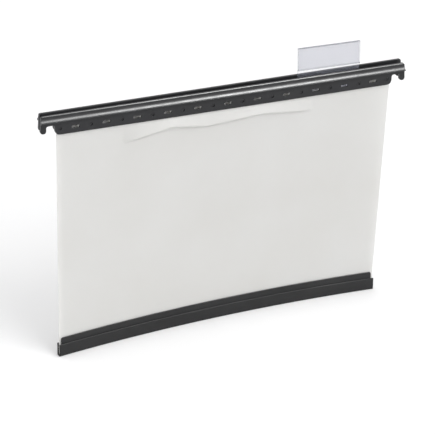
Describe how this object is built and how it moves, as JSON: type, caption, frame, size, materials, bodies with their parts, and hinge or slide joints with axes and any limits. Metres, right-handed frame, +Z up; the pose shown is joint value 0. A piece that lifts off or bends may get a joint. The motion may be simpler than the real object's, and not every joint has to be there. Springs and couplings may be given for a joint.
{
  "type": "hanging suspension file",
  "caption": "Frosted-film A4 hanging file with two black hook-ended hanger rails, a bowed black base channel and a clear index tab.",
  "frame": {"origin": "middle of the bounding box's floor, on the surface that the base stands on", "axes": "+X along the rails towards the right-hand hooks, +Y towards the file's back, +Z up"},
  "size_m": [0.3484, 0.027, 0.2561],
  "materials": {
    "rail_plastic": "satin moulded black plastic with a soft sheen",
    "base_plastic": "satin extruded black plastic",
    "film": "frosted translucent polypropylene film",
    "clear_plastic": "clear moulded plastic",
    "card": "smooth white card"
  },
  "bodies": {
    "base": {"base_channel": "base_plastic", "front_hem_strip": "base_plastic", "rear_hem_strip": "base_plastic", "front_film_hem": "film", "rear_film_hem": "film"},
    "front_panel": {"front_rail": "rail_plastic", "front_film": "film", "tab_holder": "clear_plastic", "front_film_pin_01": "rail_plastic", "front_film_pin_02": "rail_plastic", "front_film_pin_03": "rail_plastic", "front_film_pin_04": "rail_plastic", "front_film_pin_05": "rail_plastic", "front_film_pin_06": "rail_plastic", "front_film_pin_07": "rail_plastic", "front_film_pin_08": "rail_plastic", "front_film_pin_09": "rail_plastic", "front_film_pin_10": "rail_plastic", "front_film_pin_11": "rail_plastic", "front_film_pin_12": "rail_plastic"},
    "rear_panel": {"rear_rail": "rail_plastic", "rear_film": "film", "rear_film_pin_01": "rail_plastic", "rear_film_pin_02": "rail_plastic", "rear_film_pin_03": "rail_plastic", "rear_film_pin_04": "rail_plastic", "rear_film_pin_05": "rail_plastic", "rear_film_pin_06": "rail_plastic", "rear_film_pin_07": "rail_plastic", "rear_film_pin_08": "rail_plastic", "rear_film_pin_09": "rail_plastic", "rear_film_pin_10": "rail_plastic", "rear_film_pin_11": "rail_plastic", "rear_film_pin_12": "rail_plastic"},
    "card": {"label_card": "card"}
  },
  "joints": [
    {"name": "front_panel_swing", "type": "hinge", "parent": "base", "child": "front_panel", "pos_m": [0, -0.00121, 0.018], "axis": [0.9986, 0.0523, 0], "range_deg": [0, 12]},
    {"name": "rear_panel_swing", "type": "hinge", "parent": "base", "child": "rear_panel", "pos_m": [0, 0.00909, 0.018], "axis": [-0.9986, -0.0523, 0], "range_deg": [0, 12]},
    {"name": "card_slide", "type": "slide", "parent": "front_panel", "child": "card", "axis": [0.9997, -0.0262, 0], "range_m": [-0.05, 0.05]}
  ]
}
